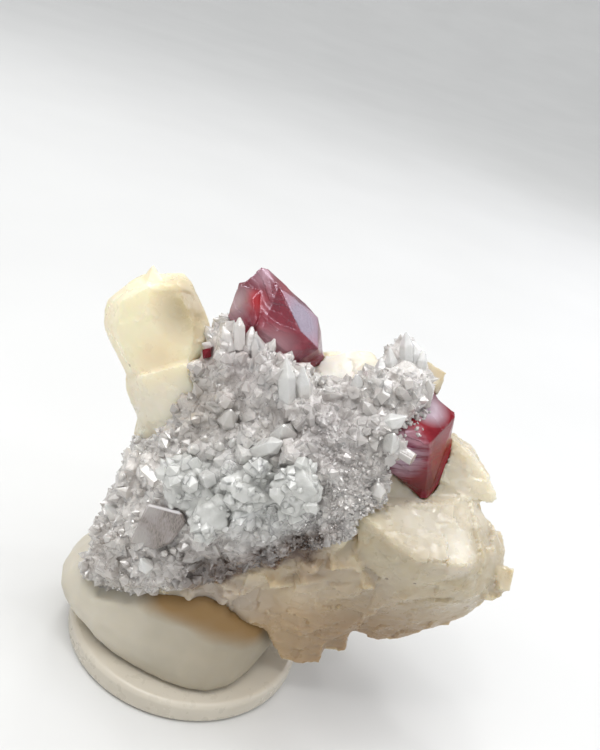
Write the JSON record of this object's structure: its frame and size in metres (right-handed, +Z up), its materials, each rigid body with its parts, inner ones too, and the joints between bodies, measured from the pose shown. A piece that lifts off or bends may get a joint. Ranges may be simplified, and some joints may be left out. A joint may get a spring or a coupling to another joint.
{
  "type": "cinnabar on matrix",
  "caption": "Mineral specimen: red cinnabar crystals and a grey quartz druse on cream dolomite, held by putty on a round disc.",
  "frame": {"origin": "the middle of the round disc's underside, which stands on the table", "axes": "+Z up, front with the druse and both cinnabar crystals faces -Y, the big dolomite block is at +X"},
  "size_m": [0.0454, 0.0254, 0.0422],
  "materials": {
    "disc": "cream-white, softly shining, slightly translucent",
    "putty": "pale grey-cream, matt and smooth",
    "dolomite": "cream, translucent, with flat lustrous faces",
    "quartz": "colourless to grey, clear, with glassy faces",
    "cinnabar": "deep red, translucent, with a very bright lustre"
  },
  "bodies": {
    "root": {"base_disc": "disc", "putty": "putty", "dolomite_matrix": "dolomite", "quartz_druse": "quartz", "cinnabar_top": "cinnabar", "cinnabar_right": "cinnabar", "cinnabar_chip": "cinnabar"}
  },
  "joints": []
}
